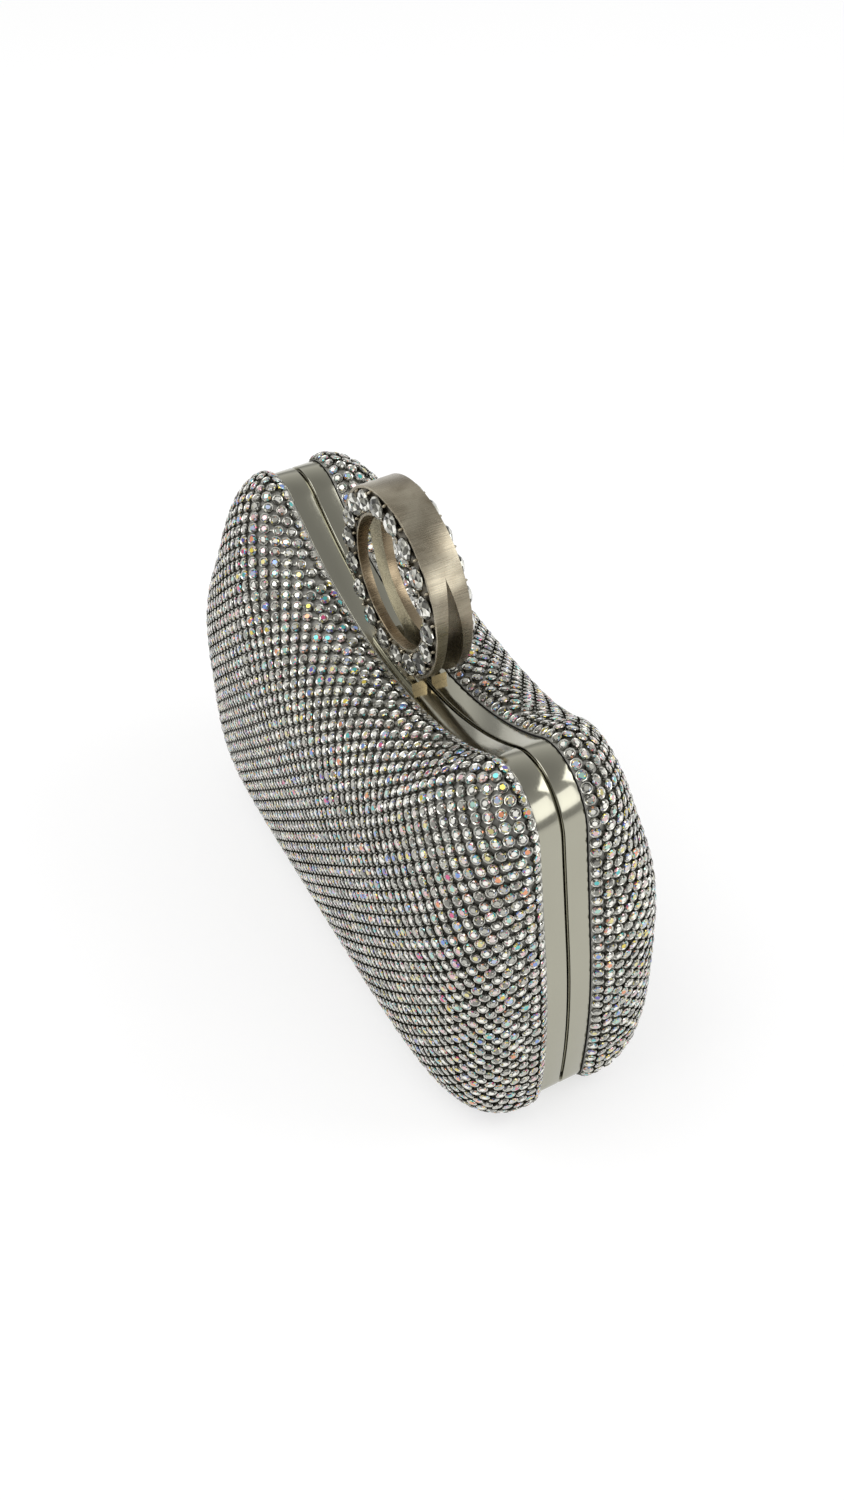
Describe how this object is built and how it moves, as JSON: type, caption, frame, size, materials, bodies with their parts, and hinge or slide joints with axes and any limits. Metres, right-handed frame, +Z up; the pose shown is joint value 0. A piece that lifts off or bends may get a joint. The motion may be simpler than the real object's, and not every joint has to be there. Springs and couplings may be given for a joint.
{
  "type": "minaudiere",
  "caption": "Hard-shell evening clutch covered in small iridescent crystals, with two hinged metal half frames and a crystal-set finger ring that parts to open it.",
  "frame": {"origin": "on the resting plane, under the middle of the case", "axes": "+X along the width, -Y to the front half, which swings open, +Z up to the ring"},
  "size_m": [0.1498, 0.0618, 0.1304],
  "materials": {
    "frame_metal": "polished, warm grey plating",
    "ring_metal": "finely brushed across, polished rims",
    "foot_metal": "polished, pale gold plating",
    "hinge_metal": "satin",
    "crystal_sheet": "faceted, iridescent coating, in silver cups",
    "ring_crystal": "brilliant cut, clear",
    "shell_plastic": "moulded",
    "foam": "fine foam sheet",
    "lining_cloth": "satin over thin card"
  },
  "bodies": {
    "back": {"back_frame": "frame_metal", "back_shell": "shell_plastic", "back_crystal_mesh": "crystal_sheet", "back_padding": "foam", "back_lining": "lining_cloth", "back_hinge_leaves": "hinge_metal", "hinge_pins": "hinge_metal", "back_rivets": "hinge_metal", "back_ring": "ring_metal", "back_ring_foot": "foot_metal", "back_ring_stones": "ring_crystal", "snap_spring": "hinge_metal"},
    "front": {"front_frame": "frame_metal", "closing_strip": "frame_metal", "front_shell": "shell_plastic", "front_crystal_mesh": "crystal_sheet", "front_padding": "foam", "front_lining": "lining_cloth", "front_hinge_leaves": "hinge_metal", "front_rivets": "hinge_metal", "front_ring": "ring_metal", "front_ring_foot": "foot_metal", "front_ring_stones": "ring_crystal", "snap_stud": "hinge_metal"}
  },
  "joints": [
    {"name": "case_hinge", "type": "hinge", "parent": "back", "child": "front", "pos_m": [0, 0, 0.0014], "axis": [1, 0, 0], "range_deg": [0, 110]}
  ]
}
